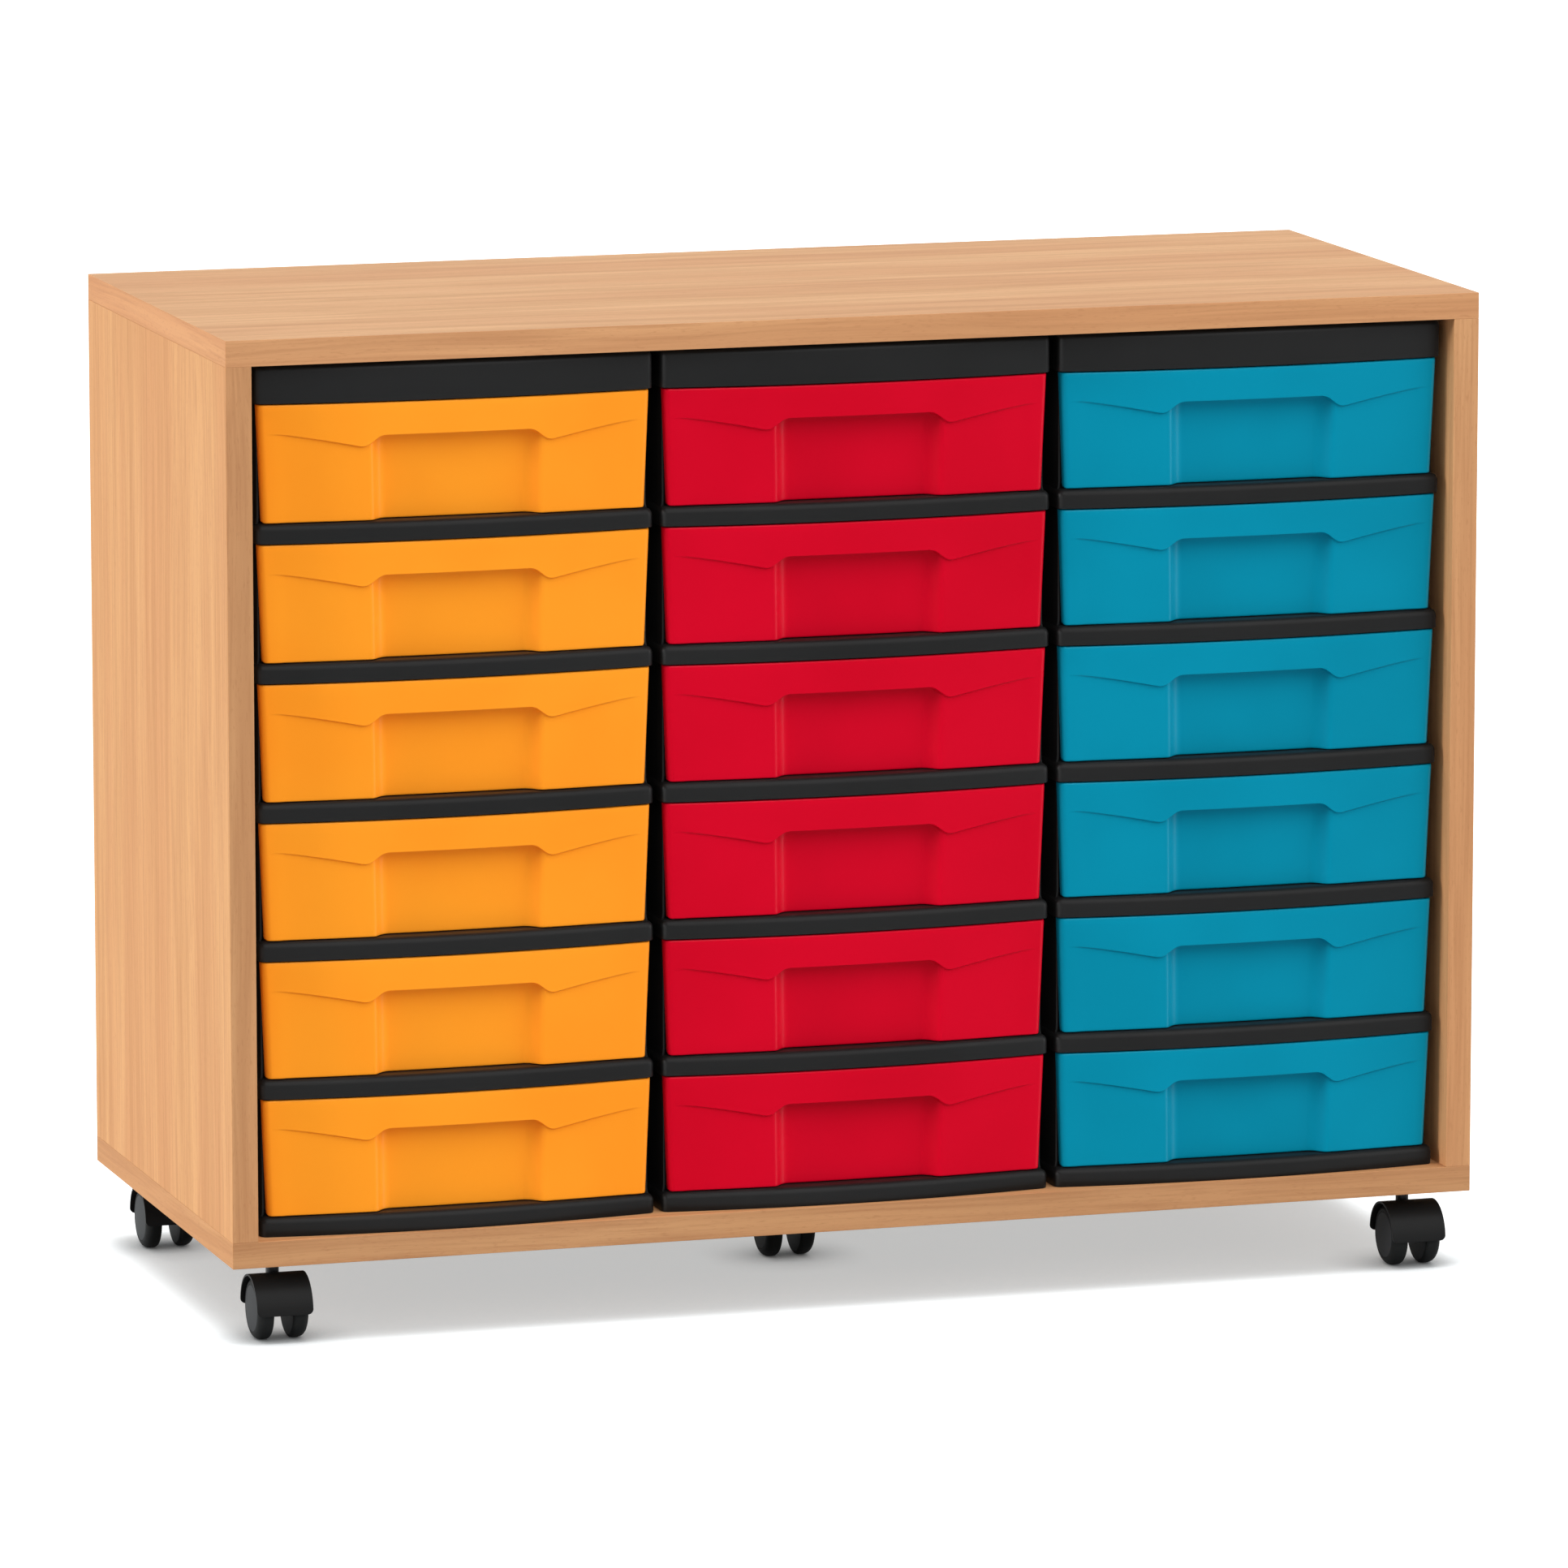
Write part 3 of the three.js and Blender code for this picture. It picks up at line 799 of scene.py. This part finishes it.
castorShape = {
    "hoodRadius": 25 * mm, "hoodWall": 1.5 * mm, "hoodEdge": 0.4 * mm, "hoodHalf": 20.8 * mm,
    "hoodCorner": 4 * mm, "hoodFrontAngle": 184, "hoodBackAngle": -3, "hoodRows": 48,
    "webHalf": 6.6 * mm, "webGap": 0.7 * mm, "webCut": (0, 0.02, -1), "webSides": 64, "boss": 5.4 * mm,
    "axle": 3 * mm, "axleReach": 2 * mm, "stemRadius": 4.8 * mm, "stemEdge": 0.6 * mm, "stemBore": 5.1 * mm,
    "socket": (6 * mm, 30 * mm), "cornerTurns": 6,
}
wheelShape = {
    "radius": 22.5 * mm, "width": 11.9 * mm, "gap": 14.1 * mm, "innerRound": 2.6 * mm,
    "outerRound": 5.3 * mm, "innerSink": 0.5 * mm, "groove": 0.3 * mm, "grooveIn": 0.2 * mm,
    "hubIn": 0.5 * mm, "hubPaint": 0.3 * mm, "dome": 0.55 * mm, "domeRings": 6, "sides": 72,
    "seam": 0.001 * mm, "smoothAngle": 32,
}


def makeHoodShell(axle):  # grid that is rolled round the axle, with its lower corners rounded
    shape = castorShape
    half, radius, corner = shape["hoodHalf"], shape["hoodRadius"], shape["hoodCorner"]
    inwards = [corner * (1 - math.cos(turn)) for turn in quarterTurn(shape["cornerTurns"])]
    places = [inward - half for inward in inwards] + [half - inward for inward in reversed(inwards)]
    shell = addGrid("hood_model", len(places) - 1, shape["hoodRows"])
    for vert in shell.data.vertices:
        x = places[gridStep(vert.co.x, len(places) - 1)]
        lift = roundOff(half - abs(x), corner) / radius
        first = math.radians(shape["hoodBackAngle"]) + lift
        last = math.radians(shape["hoodFrontAngle"]) - lift
        turn = first + (last - first) * (1 - vert.co.y) / 2
        vert.co = axle + Vector((x, radius * math.cos(turn), radius * math.sin(turn)))
    edit(shell)
    turnOutwards()
    leave()
    firstFace = shell.data.polygons[0]
    if firstFace.normal.dot(firstFace.center - axle) < 0:
        shell.data.flip_normals()
    thicken(shell, shape["hoodWall"])
    softenEdges(shell, shape["hoodEdge"])
    return shell


def makeHood(axle, stemMiddle):  # round shell over the wheels, with a web, a boss and the stem's socket
    shape = castorShape
    low, high = axle.x - shape["webHalf"], axle.x + shape["webHalf"]
    web = addRound("web", shape["hoodRadius"] - shape["webGap"], low, high, axle, True, shape["webSides"])
    edit(web)
    pickAll()
    bpy.ops.mesh.bisect(plane_co=axle, plane_no=shape["webCut"], use_fill=True, clear_outer=True)
    leave()
    boss = addRound("boss", shape["boss"], low, high, axle, True)
    hood = joinParts([makeHoodShell(axle), web, boss])
    socketLow, socketHigh = [axle.z + lift for lift in shape["socket"]]
    cutAway(hood, addRound("socket", shape["stemBore"], socketLow, socketHigh, stemMiddle, False))
    smooth(hood)
    paint(hood, finishes["castor_black"])
    return hood


def wheelProfile():  # places along the axle from the inner side, with their radius
    shape = wheelShape
    full, width = shape["radius"], shape["width"]
    inner, outer = shape["innerRound"], shape["outerRound"]
    hub = full - outer
    dome = hub - shape["hubIn"]
    turns = quarterTurn(castorShape["cornerTurns"])
    rings = shape["domeRings"]
    caps = [1 - ring / rings for ring in range(1, rings + 1)]
    profile = [(shape["innerSink"], 0), (shape["innerSink"], hub / 2)]
    profile += [(inner * (1 - math.sin(turn)), full - inner * (1 - math.cos(turn)))
                for turn in reversed(turns)]
    profile += [(width - outer * (1 - math.sin(turn)), hub + outer * math.cos(turn)) for turn in turns]
    profile += [(width - shape["groove"], hub - shape["grooveIn"]), (width, dome)]
    profile += [(width + shape["dome"] * (1 - cap * cap), dome * cap) for cap in caps]
    return profile


def makeWheel(axle, side):  # grid that is rolled round the axle
    shape = wheelShape
    profile = wheelProfile()
    sides = shape["sides"]
    wheel = addGrid("wheel", len(profile) - 1, sides)
    for vert in wheel.data.vertices:
        out, radius = profile[gridStep(vert.co.x, len(profile) - 1)]
        turn = math.pi * gridStep(vert.co.y, sides) * 2 / sides
        x = side * (shape["gap"] / 2 + out)
        vert.co = axle + Vector((x, radius * math.cos(turn), radius * math.sin(turn)))
    edit(wheel)
    pickAll()
    bpy.ops.mesh.remove_doubles(threshold=shape["seam"])
    turnOutwards()
    leave()
    return wheel


def makeWheels(axle):
    shape = wheelShape
    half = shape["gap"] / 2 + castorShape["axleReach"]
    pin = addRound("axle", castorShape["axle"], axle.x - half, axle.x + half, axle, True)
    wheels = joinParts([makeWheel(axle, -1), makeWheel(axle, 1), pin])
    paint(wheels, finishes["wheel_tread"], finishes["wheel_hub"])
    innerDisc = shape["radius"] - shape["innerRound"]
    outerDisc = shape["radius"] - shape["outerRound"] - shape["hubPaint"]
    middleOut = (shape["gap"] + shape["width"]) / 2

    def onDisc(face):
        reach = math.hypot(face.center.y - axle.y, face.center.z - axle.z)
        return reach < (outerDisc if abs(face.center.x - axle.x) > middleOut else innerDisc)
    paintFaces(wheels, 1, onDisc)
    smooth(wheels, shape["smoothAngle"])
    return wheels


def makeStem(low, high):
    stem = addRound("stem_model", castorShape["stemRadius"], low.z, high.z, (low + high) / 2, False)
    softenEdges(stem, castorShape["stemEdge"])
    smooth(stem)
    paint(stem, finishes["stem"])
    return stem


def copyCastors(model, part, bodyOf, slotName):
    nodes = [f"{name}_castor_{part}" for name in castors]
    copyToNodes(model, nodes, bodyOf, slotName, nodes[0])


wheelLow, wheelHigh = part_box("front_left_castor_wheels")
axle = (wheelLow + wheelHigh) / 2
stemLow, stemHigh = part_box("front_left_castor_stem")
hood = makeHood(axle, (stemLow + stemHigh) / 2)
copyCastors(hood, "hood", lambda node: node.removesuffix("_hood"), "castor_black")
copyCastors(makeWheels(axle), "wheels", lambda node: node.replace("castor_", ""), "castor_wheel")
copyCastors(makeStem(stemLow, stemHigh), "stem", lambda node: "carcass", "castor_stem")
print("castors done")


# floor, light and camera

# the floor's glow is darkened by two reaches of ambient occlusion: painted contact shadows near the wheels
# and a painted shadow under the unit
studio = {
    "floorReach": 60.0, "floorTone": (0.575, 0.605, 0.625, 1.0), "floorGlow": (0.98, 1.0, 1.0, 1.0),
    "floorShade": 0.50, "floorWhite": 0.55, "contactShadowReach": 0.045, "shadowReach": 0.16,
    "shadowEdge": (0.46, 0.72), "shadowSamples": 4, "sky": 0.32, "sunHeight": 3,
}
suns = {  # strength, spread, drop and turn from the front to the right, in degrees
    "floorSun": (2.2, 35, -90, 0),
    "keySun": (1.95, 64, -44, 16),
    "leftSun": (2.75, 20, -16, -87),
    "rightSun": (1.05, 40, -10, 68),
    "leftGlint": (1.6, 36, 8, -56),
    "rightGlint": (0.9, 36, 8, 95),
    "trayGlint": (0.32, 14, 9, 83),
    "rimGlint": (3.0, 24, -58, 6),
}


def seenDirectly(start):  # 1 for the camera and for mirror and glass rays
    sight, mirrored, through = [
        start.node("ShaderNodeLightPath", {}, {}, name)
        for name in ("Is Camera Ray", "Is Glossy Ray", "Is Transmission Ray")]
    return start.sum("MAXIMUM", start.sum("MAXIMUM", sight, mirrored), through)


def makeFloor():
    clearPick()
    bpy.ops.mesh.primitive_plane_add(size=studio["floorReach"], location=(0, 0, 0))
    floor = nameIt("floor")
    finish, start = newFinish("pale_floor")
    samples = {"samples": studio["shadowSamples"]}
    # the glow that the camera sees is darkened by ambient occlusion: a painted shadow under the unit and
    # painted contact shadows round the wheels, on top of the floor lamp's real shadow on the matt part
    paintedContactShadow, paintedShadowOpenness = [
        start.node("ShaderNodeAmbientOcclusion", samples, {"Distance": studio[key]}, "AO")
        for key in ("contactShadowReach", "shadowReach")]
    glowOutsidePaintedShadow = studio["floorShade"] + step(paintedShadowOpenness, *studio["shadowEdge"]) * studio["floorWhite"]
    matt = start.node("ShaderNodeBsdfDiffuse", {}, {"Color": studio["floorTone"]})
    glow = start.node("ShaderNodeEmission", {}, {
        "Color": studio["floorGlow"], "Strength": seenDirectly(start) * paintedContactShadow * glowOutsidePaintedShadow})
    both = start.node("ShaderNodeAddShader", {}, {0: matt, 1: glow})
    start.node("ShaderNodeOutputMaterial", {}, {"Surface": both})
    paint(floor, finish)
    return floor


def makeSky():
    world = bpy.data.worlds.new("soft_sky")
    bpy.context.scene.world = world
    world.use_nodes = True
    world.node_tree.nodes.clear()
    start = Wire(world.node_tree)
    glow = start.node("ShaderNodeBackground", {}, {
        "Color": (1, 1, 1, 1), "Strength": studio["sky"] + seenDirectly(start) * (1 - studio["sky"])})
    start.node("ShaderNodeOutputWorld", {}, {"Surface": glow})


def makeSun(name):
    energy, spread, drop, side = suns[name]
    clearPick()
    bpy.ops.object.light_add(type="SUN", location=(0, 0, studio["sunHeight"]),
                             rotation=(math.radians(90 + drop), 0, math.radians(side)))
    sun = bpy.context.object
    sun.name = name
    sun.data.energy = energy
    sun.data.angle = math.radians(spread)
    return sun


def onlyOn(lamp, pieces):  # the lamp lights these pieces alone
    group = bpy.data.collections.new(lamp.name + "_lit")
    for piece in pieces:
        group.objects.link(piece)
    lamp.light_linking.receiver_collection = group
    return group


photoView = {
    "lens": 253.982, "sensor": 36.0, "azimuth": -17.19631, "elevation": 9.60817,
    "place": (-2.387635, -7.727839, 1.722821), "farEnd": 200,
}


def makeCamera():
    clearPick()
    side = math.radians(photoView["azimuth"])
    lift = math.radians(photoView["elevation"])
    bpy.ops.object.camera_add(location=photoView["place"], rotation=(math.pi / 2 - lift, 0, side))
    camera = bpy.context.object
    camera.name = "photo_camera"
    camera.data.lens = photoView["lens"]
    camera.data.sensor_width = photoView["sensor"]
    camera.data.clip_end = photoView["farEnd"]
    bpy.context.scene.camera = camera


onlyOn(makeSun("floorSun"), [makeFloor()])
for name in ("keySun", "leftSun", "rightSun"):
    onlyOn(makeSun(name), looks)
dark = [piece for piece in looks if piece.active_material == finishes["housing_black"]]
bright = [piece for piece in looks if "_tray_" in piece.name]
glints = {"leftGlint": dark, "rightGlint": dark, "trayGlint": bright, "rimGlint": bright}
for name, pieces in glints.items():  # bright cards, seen in rounded edges alone
    glint = makeSun(name)
    glint.visible_diffuse = False
    glint.light_linking.blocker_collection = onlyOn(glint, pieces)
makeSky()
makeCamera()
bpy.context.scene.view_settings.view_transform = "Standard"
print("studio ready")
